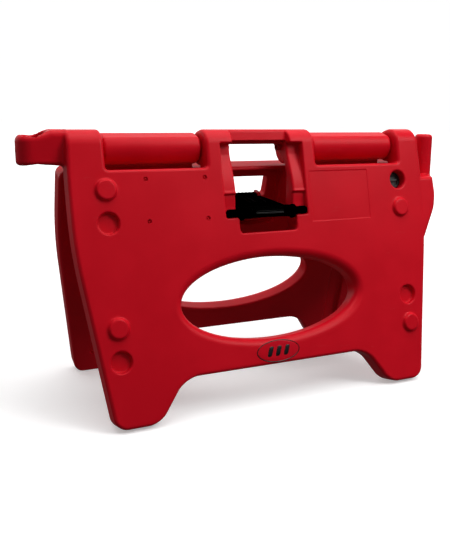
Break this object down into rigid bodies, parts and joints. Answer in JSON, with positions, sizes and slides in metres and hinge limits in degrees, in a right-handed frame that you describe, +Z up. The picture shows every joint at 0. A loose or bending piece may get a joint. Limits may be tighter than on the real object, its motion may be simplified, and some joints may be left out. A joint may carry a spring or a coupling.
{
  "type": "water filled barrier",
  "caption": "Folding A-frame barrier with two hollow water-filled leaves, a top hinge, carrying handle, lock link, connector arm and connector peg.",
  "frame": {"origin": "on the ground midway between the feet, under the hinge axis", "axes": "+X along the barrier towards the connector peg, -Y towards the front leaf with the handle and badge, +Z up"},
  "size_m": [1.09, 0.419, 0.618],
  "materials": {
    "leaf": "satin moulded polyethylene, signal red",
    "plug": "satin red plastic",
    "steel": "drawn steel rod",
    "link": "black glass-filled nylon, semi-gloss",
    "bung": "black moulded plastic",
    "seal": "black rubber",
    "badge": "glossy domed badge"
  },
  "bodies": {
    "rear": {"rear_leaf": "leaf", "link_pin": "steel"},
    "front": {"front_leaf": "leaf", "left_hinge_rod": "steel", "right_hinge_rod": "steel", "left_rod_plug": "plug", "right_rod_plug": "plug", "arm_bore_plug": "plug", "arm_tip_plug": "plug", "badge": "badge"},
    "link": {"lock_link": "link"},
    "front_stopper": {"front_bung": "bung", "front_bung_seal": "seal"},
    "rear_stopper": {"rear_bung": "bung", "rear_bung_seal": "seal"}
  },
  "joints": [
    {"name": "leaf_fold", "type": "hinge", "parent": "rear", "child": "front", "pos_m": [0, 0, 0.57288], "axis": [1, 0, 0], "range_deg": [0, 31]},
    {"name": "link_swing", "type": "hinge", "parent": "rear", "child": "link", "pos_m": [0, 0.04491, 0.44835], "axis": [-1, 0, 0], "range_deg": [0, 57.97]},
    {"name": "front_bung_pull", "type": "slide", "parent": "front", "child": "front_stopper", "axis": [0, -0.9636, 0.2672], "range_m": [0, 0.05]},
    {"name": "rear_bung_pull", "type": "slide", "parent": "rear", "child": "rear_stopper", "axis": [0, 0.9636, 0.2672], "range_m": [0, 0.05]}
  ],
  "couplings": [
    {"joint": "link_swing", "follows": "leaf_fold", "ratio": 1.87}
  ]
}
